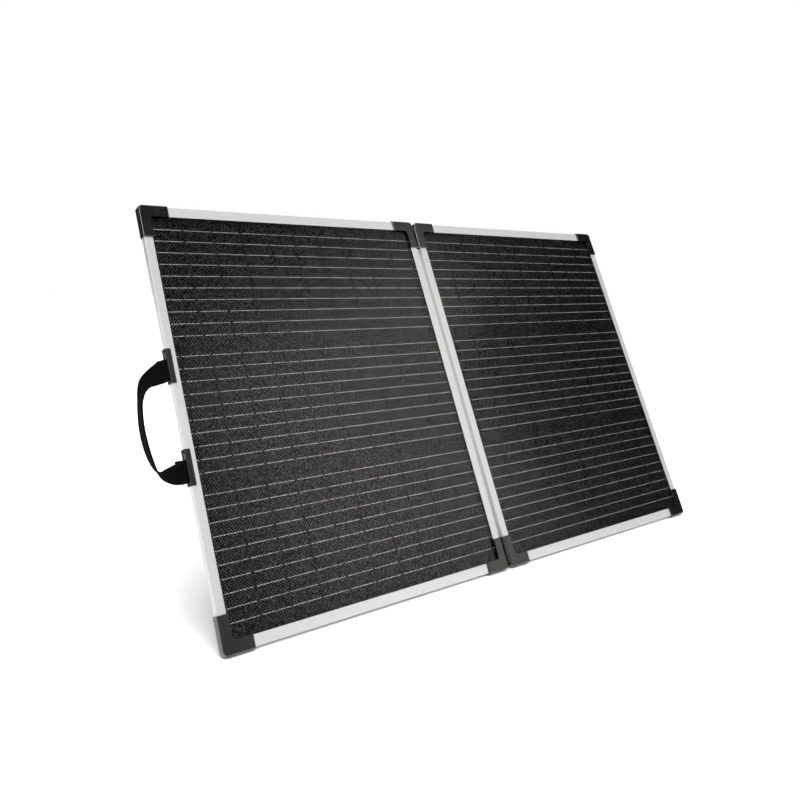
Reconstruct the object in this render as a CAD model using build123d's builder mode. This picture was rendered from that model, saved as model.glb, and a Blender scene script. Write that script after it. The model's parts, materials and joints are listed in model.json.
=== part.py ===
from build123d import *
import os
from math import cos, radians, sin

# A two-leaf folding solar panel, standing open on its two rear legs.
# The row frame has +Z up, +X along both leaves, and the cells facing -Y and up.
# Lengths are millimetres.
#
# Everything on the leaves is drawn on one sloping plane, "panel": its x runs along
# the leaves from the seam, its y runs up the slope from the rails' lower edge, and
# its z runs out of the cells, with 0 at the front of the rails' lips.

# ---- driving dimensions ---------------------------------------------------
LEAN = 23.0                 # how far the leaves lean back from upright, degrees
APERTURE_W = 472.0          # visible laminate, across one leaf
APERTURE_H = 565.0          # visible laminate, up the slope
SIDE_LIP = 12.6             # width of a side rail's front lip
END_LIP = 14.3              # width of a top or bottom rail's front lip
LEAF_GAP = 9.8              # between the two leaves' rails
FRAME_DEPTH = 8.0
LEAF_W = APERTURE_W + 2 * SIDE_LIP
LEAF_H = APERTURE_H + 2 * END_LIP
INNER_EDGE = LEAF_GAP / 2   # seam to a hinge rail's outer face
OUTER_EDGE = INNER_EDGE + LEAF_W
LEAF_MIDDLE = (INNER_EDGE + OUTER_EDGE) / 2

# rail section
LIP = 1.2                   # thickness of the front lip
WEB = 1.5
SHELF = 1.0
SHELF_W = 9.0
SHELF_TOP = -4.4
FLANGE_W = 9.0              # rear flange, from the rail's outer face
SEAM_LIP_W = 8.3            # rear lip on the left leaf that closes the seam
SEAM_LIP_CLEAR = 50.0       # from the leaf's ends, so that it clears the protectors

# laminate, from the front
FILM = (-1.3, -1.6)
FRONT_BOND = (-1.6, -2.0)
RIBBON = (-2.0, -2.1)
CELL = (-2.1, -2.3)
REAR_BOND = (-2.3, -2.7)
BOARD = (-2.7, -4.3)
LAMINATE_TUCK = 8.0         # laminate hidden under each lip

# cells: ten columns by three rows, cut from 182 mm wafers
COLUMNS = 10
ROWS = 3
CELL_W = 45.5
CELL_H = 182.0
COLUMN_PITCH = 46.5
ROW_PITCH = 184.8
ROW_START = 1.0             # end of a row's cells from the aperture's edge
BUSBARS = 10
BUSBAR_PITCH = 17.4
RIBBON_W = 0.6
RIBBON_L = 42.6
STUB_L = 4.6

# corner protectors
GUARD_WALL = 1.6
GUARD_FRONT = 2.0           # how far the face stands proud of the lip
GUARD_BACK = 1.5
GUARD_ARM_X = 44.0
GUARD_ARM_Y = 48.0
GUARD_CORNER = 6.0
GUARD_INNER = 5.0           # radius at the inner corner
GUARD_OVERHANG = 1.2        # how far the face reaches past the lips
GUARD_BACK_ARM = 9.0
FRONT_ROUND = 1.6
BACK_ROUND = 1.0

# hinges, moulded into the four protectors beside the seam
HINGE_Z = 2.4
KNUCKLE_R = 2.6
HINGE_PIN_R = 1.3
RUNNING_FIT = 0.05
KNUCKLE_START = 8.0
KNUCKLE_END = 46.0
KNUCKLE_L = 10.0
KNUCKLE_PLAY = 0.4
STOP_CLEAR = 0.15
STOP_PAD_Z = -6.0

# rear structure
CROSSBAR_Y = 410.0
CROSSBAR_W = 34.0
CROSSBAR = (-8.0, -10.2)
RAIL_SCREW_IN = 5.5         # crossbar screws, in from a side rail's outer face
RAIL_SCREW_PITCH = 18.0
BRACKET_SCREW_PITCH = 26.0
CLIP_SCREW_PITCH = 14.0
CLIP_SCREW_Y = 5.0
SCREW_R = 2.0
SCREW_L = 3.5
SCREW_HEAD_R = 3.6
SCREW_HEAD = 2.0
BRACKET_BASE = 1.5
BRACKET_W = 38.0
BRACKET_H = 26.0
EAR = 2.0
EAR_R = 5.5
PIVOT_RISE = 8.5            # pivot above the bracket's base

# legs
LEG_R = 4.0
LEG_WALL = 1.2
LEG_HALF_W = 95.0
LEG_BEND = 26.0
LEG_OPEN = 38.0             # angle between a leg and its leaf
LEG_PIN_R = 2.0
BLOCK_HALF_W = 3.9
HEEL = 8.0
BLOCK_BELOW = 24.0
FOOT_R = 7.0
FOOT_H = 7.5                # tube's axis above the ground
FOOT_L = 30.0
FOOT_X = 50.0
SOLE_W = 13.0
CLIP_PLAY = 0.4
CLIP_JAW = 2.0
CLIP_W = 22.0

# junction box
BOX_W = 84.0
BOX_L = 58.0
BOX_DEPTH = 11.0
BOX_WALL = 2.0
BOX_LID = 2.5
BOX_Y = 478.0
GLAND_NUT_R = 5.0           # half its width across flats
GLAND_BODY_R = 4.4
GLAND_L = 15.0
CABLE_R = 2.6

# handle on the left leaf's outer rail
BRACKET_PITCH = 134.4
HANDLE_LOW = 1.2            # the handle's middle sits this far below the leaf's
STRAP_BRACKET_L = 47.0
STRAP_BRACKET_WALL = 1.6
STRAP_BRACKET_LIP = 6.2     # how far it hooks over the rail's face
STRAP_BRACKET_FRONT = 1.8
STRAP_SCREW_IN = 3.2
STRAP_SCREW_PITCH = 30.0
STRAP_SCREW_R = 1.4
STRAP_BRACKET_GROOVES = ((0.4, 0.9), (2.2, 0.4), (3.4, 0.4), (4.6, 0.4))
GROOVE_DEPTH = 0.5
STRAP_EAR = 3.5
STRAP_EAR_R = 1.5
BAR_R = 0.8
BAR_OUT = 2.2               # bar's axis from the rail's outer face
BAR_Z = -4.5
STRAP_W = 30.0
STRAP_SAG = 4.5             # the strap sits low between its bracket's ears
STRAP_T = 2.4
GRIP_T = 5.0
GRIP_W = 15.0
STRAP_REACH = 51.5          # rail's outer face to the outside of the loop

# ---- placing the model ----------------------------------------------------
REAR = -FRAME_DEPTH - GUARD_BACK
PIVOT_Z = CROSSBAR[1] - BRACKET_BASE - PIVOT_RISE
UP_Y = sin(radians(LEAN))
UP_Z = cos(radians(LEAN))

# the protectors' rear lower edges touch the ground
corner_y = -GUARD_WALL + BACK_ROUND
corner_z = REAR + BACK_ROUND
ground_z = BACK_ROUND - corner_y * UP_Z - corner_z * UP_Y

# the protectors' front lower edges and the back of the feet bound the depth
front_edge_y = FRONT_ROUND - GUARD_WALL
front_edge_z = GUARD_FRONT - FRONT_ROUND
front_y = front_edge_y * UP_Y - front_edge_z * UP_Z - FRONT_ROUND
leg_tilt = LEG_OPEN - LEAN
pivot_height = ground_z + CROSSBAR_Y * UP_Z + PIVOT_Z * UP_Y
leg_length = (pivot_height - FOOT_H) / cos(radians(leg_tilt))
foot_y = CROSSBAR_Y * UP_Y - PIVOT_Z * UP_Z + leg_length * sin(radians(leg_tilt))
back_y = foot_y + FOOT_R
seam_x = (STRAP_REACH - GUARD_WALL) / 2
seam_y = -(front_y + back_y) / 2

panel = Plane(
    origin=(seam_x, seam_y, ground_z),
    x_dir=(1, 0, 0),
    z_dir=(0, -UP_Z, UP_Y),
)


def face_plane(x, y, z):
    """A plane facing out of the cells, at a point of the panel."""
    return Plane(panel.from_local_coords((x, y, z)), x_dir=panel.x_dir, z_dir=panel.z_dir)


def end_plane(x, y, z):
    """A plane across the slope: its y is out of the cells and its normal is down the slope."""
    return Plane(panel.from_local_coords((x, y, z)), x_dir=panel.x_dir, z_dir=-panel.y_dir)


def side_plane(x, y, z):
    """A plane across the leaf: its x is up the slope and its y is out of the cells."""
    return Plane(panel.from_local_coords((x, y, z)), x_dir=panel.y_dir, z_dir=panel.x_dir)


def save(piece, name):
    piece.part.label = name
    export_step(piece.part, f"parts/{name}.step")


os.makedirs("parts", exist_ok=True)

SIDES = (("left", -1), ("right", 1))


# ---- rails ----------------------------------------------------------------
def rail_outline(lip_width):
    """One rail's section, with x inward from its outer face and y out of the cells."""
    with BuildLine() as outline:
        Polyline(
            (0, 0),
            (lip_width, 0),
            (lip_width, -LIP),
            (WEB, -LIP),
            (WEB, SHELF_TOP),
            (SHELF_W, SHELF_TOP),
            (SHELF_W, SHELF_TOP - SHELF),
            (WEB, SHELF_TOP - SHELF),
            (WEB, WEB - FRAME_DEPTH),
            (FLANGE_W, WEB - FRAME_DEPTH),
            (FLANGE_W, -FRAME_DEPTH),
            (0, -FRAME_DEPTH),
            close=True,
        )
    return outline


def soften_rail(rail, along):
    """Rounds the four long outer edges of a rail."""
    edges = rail.edges().filter_by(along)
    long_edges = edges.filter_by(lambda edge: edge.length > 100)
    front = long_edges.sort_by(Axis(panel.origin, panel.z_dir))[-2:]
    fillet(front, 0.5)


for side, sign in SIDES:
    for place in ("outer", "hinge"):
        edge_x = sign * (OUTER_EDGE if place == "outer" else INNER_EDGE)
        inward = -sign if place == "outer" else sign
        with BuildPart() as side_rail:
            with BuildSketch(end_plane(edge_x, LEAF_H, 0)):
                with BuildLine():
                    add(rail_outline(SIDE_LIP).line)
                make_face()
                if inward < 0:
                    mirror(about=Plane.YZ, mode=Mode.REPLACE)
            extrude(amount=LEAF_H)
            soften_rail(side_rail, Axis(panel.origin, panel.y_dir))
            screw_x = edge_x + inward * RAIL_SCREW_IN
            with BuildSketch(face_plane(screw_x, CROSSBAR_Y, -FRAME_DEPTH)):
                with GridLocations(1, RAIL_SCREW_PITCH, 1, 2):
                    Circle(SCREW_R)
            extrude(amount=WEB, mode=Mode.SUBTRACT)
            if side == "left" and place == "hinge":
                lip_length = LEAF_H - 2 * SEAM_LIP_CLEAR
                with BuildSketch(end_plane(edge_x, LEAF_H - SEAM_LIP_CLEAR, -FRAME_DEPTH)):
                    Rectangle(SEAM_LIP_W, WEB, align=(Align.MIN, Align.MIN))
                extrude(amount=lip_length)
            if side == "left" and place == "outer":
                strap_screw_x = edge_x + STRAP_SCREW_IN
                with BuildSketch(face_plane(strap_screw_x, LEAF_H / 2 - HANDLE_LOW, -FRAME_DEPTH)):
                    with GridLocations(1, BRACKET_PITCH, 1, 2):
                        with GridLocations(1, STRAP_SCREW_PITCH, 1, 2):
                            Circle(STRAP_SCREW_R)
                extrude(amount=WEB, mode=Mode.SUBTRACT)
        save(side_rail, f"{side}_{place}_rail")

    for place in ("top", "bottom"):
        edge_y = LEAF_H if place == "top" else 0
        start_x = sign * LEAF_MIDDLE - APERTURE_W / 2
        with BuildPart() as end_rail:
            with BuildSketch(side_plane(start_x, edge_y, 0)):
                with BuildLine():
                    add(rail_outline(END_LIP).line)
                make_face()
                if place == "top":
                    mirror(about=Plane.YZ, mode=Mode.REPLACE)
            extrude(amount=APERTURE_W)
            soften_rail(end_rail, Axis(panel.origin, panel.x_dir))
            if place == "bottom":
                with BuildSketch(face_plane(sign * LEAF_MIDDLE, CLIP_SCREW_Y, -FRAME_DEPTH)):
                    with GridLocations(CLIP_SCREW_PITCH, 1, 2, 1):
                        Circle(SCREW_R)
                extrude(amount=WEB, mode=Mode.SUBTRACT)
        save(end_rail, f"{side}_{place}_rail")


# ---- corner protectors and keys -------------------------------------------
def corner_frame(sign, place, end):
    """The leaf's corner, with the directions that run into the leaf from it."""
    x = sign * (OUTER_EDGE if place == "outer" else INNER_EDGE)
    into_x = -sign if place == "outer" else sign
    y = LEAF_H if end == "top" else 0
    into_y = -1 if end == "top" else 1
    return x, y, into_x, into_y


def corner_block(corner, low, high, z_low, z_high):
    """A block over a leaf's corner, from low to high into the leaf each way."""
    x, y, into_x, into_y = corner
    middle_x = x + into_x * (low[0] + high[0]) / 2
    middle_y = y + into_y * (low[1] + high[1]) / 2
    with BuildPart() as block:
        with BuildSketch(face_plane(middle_x, middle_y, z_low)):
            Rectangle(high[0] - low[0], high[1] - low[1])
        extrude(amount=z_high - z_low)
    return block.part


def hinge_knuckle(sign, top, length):
    """One hinge knuckle beside the protector's side wall, with its neck."""
    wall = sign * (INNER_EDGE - GUARD_WALL + 0.3)
    with BuildPart() as knuckle:
        with BuildSketch(end_plane(0, top, 0)):
            with Locations((0, HINGE_Z)):
                Circle(KNUCKLE_R)
            with BuildLine():
                Polyline(
                    (0, HINGE_Z),
                    (wall, GUARD_FRONT - 0.5),
                    (wall, -4.5),
                    (0, HINGE_Z - KNUCKLE_R),
                    close=True,
                )
            make_face()
            with Locations((0, HINGE_Z)):
                Circle(HINGE_PIN_R + RUNNING_FIT, mode=Mode.SUBTRACT)
        extrude(amount=length)
    return knuckle.part


def knuckle_spans(sign):
    """The left protector carries the two end knuckles and the right one the middle."""
    if sign < 0:
        return (
            (KNUCKLE_START, KNUCKLE_START + KNUCKLE_L),
            (KNUCKLE_END - KNUCKLE_L, KNUCKLE_END),
        )
    return (
        (
            KNUCKLE_START + KNUCKLE_L + KNUCKLE_PLAY,
            KNUCKLE_END - KNUCKLE_L - KNUCKLE_PLAY,
        ),
    )


for side, sign in SIDES:
    for place in ("outer", "hinge"):
        for end in ("top", "bottom"):
            corner = corner_frame(sign, place, end)
            x, y, into_x, into_y = corner
            face = (SIDE_LIP + GUARD_OVERHANG, END_LIP + GUARD_OVERHANG)
            arms = (GUARD_ARM_X - GUARD_WALL, GUARD_ARM_Y - GUARD_WALL)
            beyond = (arms[0] + 5, arms[1] + 5)
            rear_arms = (GUARD_BACK_ARM, GUARD_BACK_ARM)
            with BuildPart() as guard:
                add(corner_block(corner, (-GUARD_WALL, -GUARD_WALL), arms, REAR, GUARD_FRONT))
                upright = guard.edges().filter_by(Axis(panel.origin, panel.z_dir))
                tip = panel.from_local_coords((x, y, 0))
                fillet(upright.sort_by_distance(tip)[0], GUARD_CORNER)
                front = guard.faces().sort_by(Axis(panel.origin, panel.z_dir))[-1]
                fillet(front.edges(), FRONT_ROUND)
                back = guard.faces().sort_by(Axis(panel.origin, panel.z_dir))[0]
                fillet(back.edges(), BACK_ROUND)
                rails = corner_block(corner, (0, 0), beyond, -FRAME_DEPTH, 0)
                window = corner_block(corner, face, beyond, 0, GUARD_FRONT + 1)
                rear_window = corner_block(corner, rear_arms, beyond, REAR - 1, -FRAME_DEPTH)
                for opening in (rails, window, rear_window):
                    add(opening, mode=Mode.SUBTRACT)
                inside = panel.from_local_coords(
                    (x + into_x * face[0], y + into_y * face[1], GUARD_FRONT / 2)
                )
                upright = guard.edges().filter_by(Axis(panel.origin, panel.z_dir))
                fillet(upright.sort_by_distance(inside)[0], GUARD_INNER)
                if place == "hinge":
                    for start, stop in knuckle_spans(sign):
                        top = max(y + into_y * start, y + into_y * stop)
                        add(hinge_knuckle(sign, top, stop - start))
                    add(corner_block(
                        corner,
                        (STOP_CLEAR - INNER_EDGE, KNUCKLE_START),
                        (0.3 - GUARD_WALL, KNUCKLE_END),
                        REAR + BACK_ROUND,
                        STOP_PAD_Z,
                    ))
            save(guard, f"{side}_{place}_{end}_corner")

    with BuildPart() as keys:
        for place in ("outer", "hinge"):
            for end in ("top", "bottom"):
                corner = corner_frame(sign, place, end)
                low = (WEB + 0.1, WEB + 0.1)
                key_rear = WEB - FRAME_DEPTH + 0.1
                for high in ((30, 7), (7, 34)):
                    add(corner_block(corner, low, high, key_rear, SHELF_TOP - SHELF - 0.1))
    save(keys, f"{side}_corner_keys")

with BuildPart() as hinge_pins:
    for end in ("top", "bottom"):
        start = KNUCKLE_START - 0.5
        length = KNUCKLE_END - KNUCKLE_START + 1
        top = LEAF_H - start if end == "top" else start + length
        with BuildSketch(end_plane(0, top, HINGE_Z)):
            Circle(HINGE_PIN_R)
        extrude(amount=length)
save(hinge_pins, "hinge_pins")


# ---- laminate -------------------------------------------------------------
def sheet(sign, levels, margin):
    """A flat sheet of the laminate, reaching margin beyond the visible aperture."""
    with BuildPart() as layer:
        with BuildSketch(face_plane(sign * LEAF_MIDDLE, LEAF_H / 2, levels[1])):
            Rectangle(APERTURE_W + 2 * margin, APERTURE_H + 2 * margin)
        extrude(amount=levels[0] - levels[1])
    return layer


def row_shift(row):
    """The middle row starts at the other end of the aperture from its neighbours."""
    row_length = (COLUMNS - 1) * COLUMN_PITCH + CELL_W
    offset = APERTURE_W / 2 - ROW_START - row_length / 2
    return offset if row == 1 else -offset


def row_middle(row):
    return LEAF_H / 2 + (1 - row) * ROW_PITCH


for side, sign in SIDES:
    save(sheet(sign, FILM, LAMINATE_TUCK), f"{side}_front_film")
    save(sheet(sign, BOARD, LAMINATE_TUCK), f"{side}_backing_board")

    with BuildPart() as bond:
        for levels in (FRONT_BOND, REAR_BOND):
            with BuildSketch(face_plane(sign * LEAF_MIDDLE, LEAF_H / 2, levels[1])):
                Rectangle(APERTURE_W + 2 * LAMINATE_TUCK, APERTURE_H + 2 * LAMINATE_TUCK)
            extrude(amount=levels[0] - levels[1])
    save(bond, f"{side}_encapsulant")

    with BuildPart() as cells:
        for row in range(ROWS):
            with BuildSketch(
                face_plane(sign * LEAF_MIDDLE + row_shift(row), row_middle(row), CELL[1])
            ):
                with GridLocations(COLUMN_PITCH, 1, COLUMNS, 1):
                    Rectangle(CELL_W, CELL_H)
            extrude(amount=CELL[0] - CELL[1])
    save(cells, f"{side}_cells")

    with BuildPart() as ribbons:
        for row in range(ROWS):
            with BuildSketch(
                face_plane(sign * LEAF_MIDDLE + row_shift(row), row_middle(row), RIBBON[1])
            ):
                with GridLocations(COLUMN_PITCH, BUSBAR_PITCH, COLUMNS, BUSBARS):
                    Rectangle(RIBBON_L, RIBBON_W)
            extrude(amount=RIBBON[0] - RIBBON[1])
            stub_side = -1 if row == 1 else 1
            stub_x = sign * LEAF_MIDDLE + stub_side * (APERTURE_W - STUB_L) / 2
            with BuildSketch(face_plane(stub_x, row_middle(row), RIBBON[1])):
                with GridLocations(1, BUSBAR_PITCH, 1, BUSBARS):
                    Rectangle(STUB_L, RIBBON_W)
            extrude(amount=RIBBON[0] - RIBBON[1])
    save(ribbons, f"{side}_ribbons")

    with BuildPart() as seal:
        with BuildSketch(face_plane(sign * LEAF_MIDDLE, LEAF_H / 2, BOARD[1])):
            Rectangle(LEAF_W - 2 * WEB - 0.2, LEAF_H - 2 * WEB - 0.2)
            Rectangle(
                APERTURE_W + 2 * LAMINATE_TUCK,
                APERTURE_H + 2 * LAMINATE_TUCK,
                mode=Mode.SUBTRACT,
            )
        extrude(amount=FILM[0] - BOARD[1])
    save(seal, f"{side}_edge_seal")


# ---- rear crossbar, leg brackets and screws -------------------------------
for side, sign in SIDES:
    centre = sign * LEAF_MIDDLE
    with BuildPart() as crossbar:
        with BuildSketch(face_plane(centre, CROSSBAR_Y, CROSSBAR[1])):
            Rectangle(LEAF_W - 4, CROSSBAR_W)
            with GridLocations(LEAF_W - 2 * RAIL_SCREW_IN, RAIL_SCREW_PITCH, 2, 2):
                Circle(SCREW_R, mode=Mode.SUBTRACT)
            with GridLocations(2 * LEG_HALF_W, 1, 2, 1):
                with GridLocations(BRACKET_SCREW_PITCH, 1, 2, 1):
                    Circle(SCREW_R, mode=Mode.SUBTRACT)
        extrude(amount=CROSSBAR[0] - CROSSBAR[1])
    save(crossbar, f"{side}_crossbar")

    with BuildPart() as brackets:
        for place in (-1, 1):
            x = centre + place * LEG_HALF_W
            with BuildSketch(face_plane(x, CROSSBAR_Y, CROSSBAR[1])):
                RectangleRounded(BRACKET_W, BRACKET_H, 3)
                with GridLocations(BRACKET_SCREW_PITCH, 1, 2, 1):
                    Circle(SCREW_R, mode=Mode.SUBTRACT)
            extrude(amount=-BRACKET_BASE)
            for ear in (-1, 1):
                inner = ear * (LEG_R + 0.4)
                start = min(inner, inner + ear * EAR)
                with BuildSketch(side_plane(x + start, CROSSBAR_Y, PIVOT_Z)):
                    Circle(EAR_R)
                    with BuildLine():
                        Polyline(
                            (-EAR_R, 0),
                            (EAR_R, 0),
                            (EAR_R + 4, PIVOT_RISE),
                            (-EAR_R - 4, PIVOT_RISE),
                            close=True,
                        )
                    make_face()
                    Circle(LEG_PIN_R, mode=Mode.SUBTRACT)
                extrude(amount=EAR)
    save(brackets, f"{side}_leg_brackets")

    with BuildPart() as pins:
        for place in (-1, 1):
            half = LEG_R + 0.4 + EAR + 0.6
            x = centre + place * LEG_HALF_W
            with BuildSketch(side_plane(x - half, CROSSBAR_Y, PIVOT_Z)):
                Circle(LEG_PIN_R)
            extrude(amount=2 * half)
            for head_x in (x - half - 1.2, x + half):
                with BuildSketch(side_plane(head_x, CROSSBAR_Y, PIVOT_Z)):
                    Circle(LEG_PIN_R + 1.3)
                extrude(amount=1.2)
    save(pins, f"{side}_leg_pins")

    with BuildPart() as screws:
        seats = []
        for place in (-1, 1):
            rail_x = place * (LEAF_W / 2 - RAIL_SCREW_IN)
            for step in (-1, 1):
                rail_y = CROSSBAR_Y + step * RAIL_SCREW_PITCH / 2
                seats.append((rail_x, rail_y, CROSSBAR[1]))
                bracket_x = place * LEG_HALF_W + step * BRACKET_SCREW_PITCH / 2
                seats.append((bracket_x, CROSSBAR_Y, CROSSBAR[1] - BRACKET_BASE))
            clip_x = place * CLIP_SCREW_PITCH / 2
            seats.append((clip_x, CLIP_SCREW_Y, -FRAME_DEPTH - CLIP_JAW))
        for dx, y, z in seats:
            with BuildSketch(face_plane(centre + dx, y, z)):
                Circle(SCREW_HEAD_R)
            extrude(amount=-SCREW_HEAD, taper=22)
            with BuildSketch(face_plane(centre + dx, y, z)):
                Circle(SCREW_R)
            extrude(amount=SCREW_L)
    save(screws, f"{side}_rear_screws")


# ---- legs -----------------------------------------------------------------
def leg_plane(centre):
    """The leg's own plane: its y runs from the foot up to the pivot."""
    return face_plane(centre, CROSSBAR_Y, PIVOT_Z).rotated((LEG_OPEN, 0, 0))


for side, sign in SIDES:
    centre = sign * LEAF_MIDDLE
    plane = leg_plane(centre)
    tube_top = -BLOCK_BELOW + 8
    with BuildPart() as leg:
        with BuildLine(plane) as path:
            FilletPolyline(
                (-LEG_HALF_W, tube_top),
                (-LEG_HALF_W, -leg_length),
                (LEG_HALF_W, -leg_length),
                (LEG_HALF_W, tube_top),
                radius=LEG_BEND,
            )
        with BuildSketch(Plane(path.line @ 0, z_dir=path.line % 0)):
            Circle(LEG_R)
            Circle(LEG_R - LEG_WALL, mode=Mode.SUBTRACT)
        sweep()
    save(leg, f"{side}_leg")

    with BuildPart() as leg_ends:
        for place in (-1, 1):
            x = place * LEG_HALF_W
            with BuildSketch(plane.offset(-LEG_R)):
                with Locations((x, (HEEL + tube_top) / 2)):
                    Rectangle(2 * BLOCK_HALF_W, HEEL - tube_top)
            extrude(amount=2 * LEG_R)
            with BuildSketch(
                Plane(
                    plane.from_local_coords((x, tube_top, 0)),
                    x_dir=plane.x_dir,
                    z_dir=-plane.y_dir,
                )
            ):
                Circle(LEG_R - LEG_WALL)
            extrude(amount=10)
            with BuildSketch(side_plane(centre + x - 6, CROSSBAR_Y, PIVOT_Z)):
                Circle(LEG_PIN_R + RUNNING_FIT)
            extrude(amount=12, mode=Mode.SUBTRACT)
    save(leg_ends, f"{side}_leg_ends")

    with BuildPart() as feet:
        for place in (-1, 1):
            start_x = seam_x + centre + place * FOOT_X - FOOT_L / 2
            with BuildSketch(Plane.YZ.offset(start_x)):
                with Locations((seam_y + foot_y, FOOT_H)):
                    Circle(FOOT_R)
                with Locations((seam_y + foot_y, FOOT_H / 2)):
                    Rectangle(SOLE_W, FOOT_H)
                with Locations((seam_y + foot_y, FOOT_H)):
                    Circle(LEG_R, mode=Mode.SUBTRACT)
            extrude(amount=FOOT_L)
    save(feet, f"{side}_leg_feet")

    with BuildPart() as clip:
        closed_y = CROSSBAR_Y - leg_length
        reach = closed_y + LEG_R + CLIP_PLAY + CLIP_JAW
        with BuildSketch(face_plane(centre, (reach + 1) / 2, -FRAME_DEPTH - CLIP_JAW)):
            Rectangle(CLIP_W, reach - 1)
            with Locations((0, CLIP_SCREW_Y - (reach + 1) / 2)):
                with GridLocations(CLIP_SCREW_PITCH, 1, 2, 1):
                    Circle(SCREW_R, mode=Mode.SUBTRACT)
        extrude(amount=CLIP_JAW)
        for jaw in (-1, 1):
            jaw_y = closed_y + jaw * (LEG_R + CLIP_PLAY + CLIP_JAW / 2)
            with BuildSketch(face_plane(centre, jaw_y, -FRAME_DEPTH - 1)):
                Rectangle(CLIP_W, CLIP_JAW)
            extrude(amount=PIVOT_Z - 2 + FRAME_DEPTH + 1)
    save(clip, f"{side}_leg_clip")


# ---- junction boxes -------------------------------------------------------
for side, sign in SIDES:
    centre = sign * LEAF_MIDDLE
    back = BOARD[1]
    gland_x = centre - sign * BOX_W / 2
    gland_z = back - BOX_DEPTH / 2
    with BuildPart() as box:
        with BuildSketch(face_plane(centre, BOX_Y, back)):
            RectangleRounded(BOX_W, BOX_L, 5)
        extrude(amount=-BOX_DEPTH)
        with BuildSketch(face_plane(centre, BOX_Y, back - BOX_WALL)):
            RectangleRounded(BOX_W - 2 * BOX_WALL, BOX_L - 2 * BOX_WALL, 3.5)
        extrude(amount=-BOX_DEPTH, mode=Mode.SUBTRACT)
        with BuildSketch(side_plane(gland_x - 5, BOX_Y, gland_z)):
            Circle(3.5)
        extrude(amount=10, mode=Mode.SUBTRACT)
    save(box, f"{side}_junction_box")

    with BuildPart() as lid:
        with BuildSketch(face_plane(centre, BOX_Y, back - BOX_DEPTH)):
            RectangleRounded(BOX_W + 2, BOX_L + 2, 6)
        extrude(amount=-BOX_LID)
        outside = lid.faces().sort_by(Axis(panel.origin, panel.z_dir))[0]
        fillet(outside.edges(), 1.2)
        with BuildSketch(face_plane(centre, BOX_Y, back - BOX_DEPTH)):
            RectangleRounded(BOX_W - 2 * BOX_WALL - 0.4, BOX_L - 2 * BOX_WALL - 0.4, 3.3)
            RectangleRounded(BOX_W - 4 * BOX_WALL, BOX_L - 4 * BOX_WALL, 2, mode=Mode.SUBTRACT)
        extrude(amount=1.5)
    save(lid, f"{side}_junction_lid")

    with BuildPart() as terminals:
        with BuildSketch(face_plane(centre, BOX_Y, back - BOX_WALL)):
            with GridLocations(24, 1, 3, 1):
                RectangleRounded(16, 34, 1.5)
        extrude(amount=-1.2)
        for dx in (-12, 12):
            diode_z = back - BOX_WALL - 1.2 - 2.2
            with BuildSketch(side_plane(centre + dx - 7, BOX_Y + 4, diode_z)):
                Circle(2.2)
            extrude(amount=14)
    save(terminals, f"{side}_junction_terminals")

    with BuildPart() as gland:
        out = -sign
        for radius, length in ((GLAND_NUT_R, 9.0), (GLAND_BODY_R, GLAND_L)):
            start = gland_x if out > 0 else gland_x - length
            with BuildSketch(side_plane(start, BOX_Y, gland_z)):
                if radius == GLAND_NUT_R:
                    RegularPolygon(radius, 6, major_radius=False)
                else:
                    Circle(radius)
            extrude(amount=length)
        with BuildSketch(side_plane(gland_x - 2 * GLAND_L, BOX_Y, gland_z)):
            Circle(CABLE_R)
        extrude(amount=4 * GLAND_L, mode=Mode.SUBTRACT)
    save(gland, f"{side}_cable_gland")


# ---- carrying handle ------------------------------------------------------
RAIL_X = -OUTER_EDGE
BAR_X = RAIL_X - BAR_OUT
HANDLE_Y = LEAF_H / 2 - HANDLE_LOW
bracket_places = {
    "upper": HANDLE_Y + BRACKET_PITCH / 2,
    "lower": HANDLE_Y - BRACKET_PITCH / 2,
}

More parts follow.
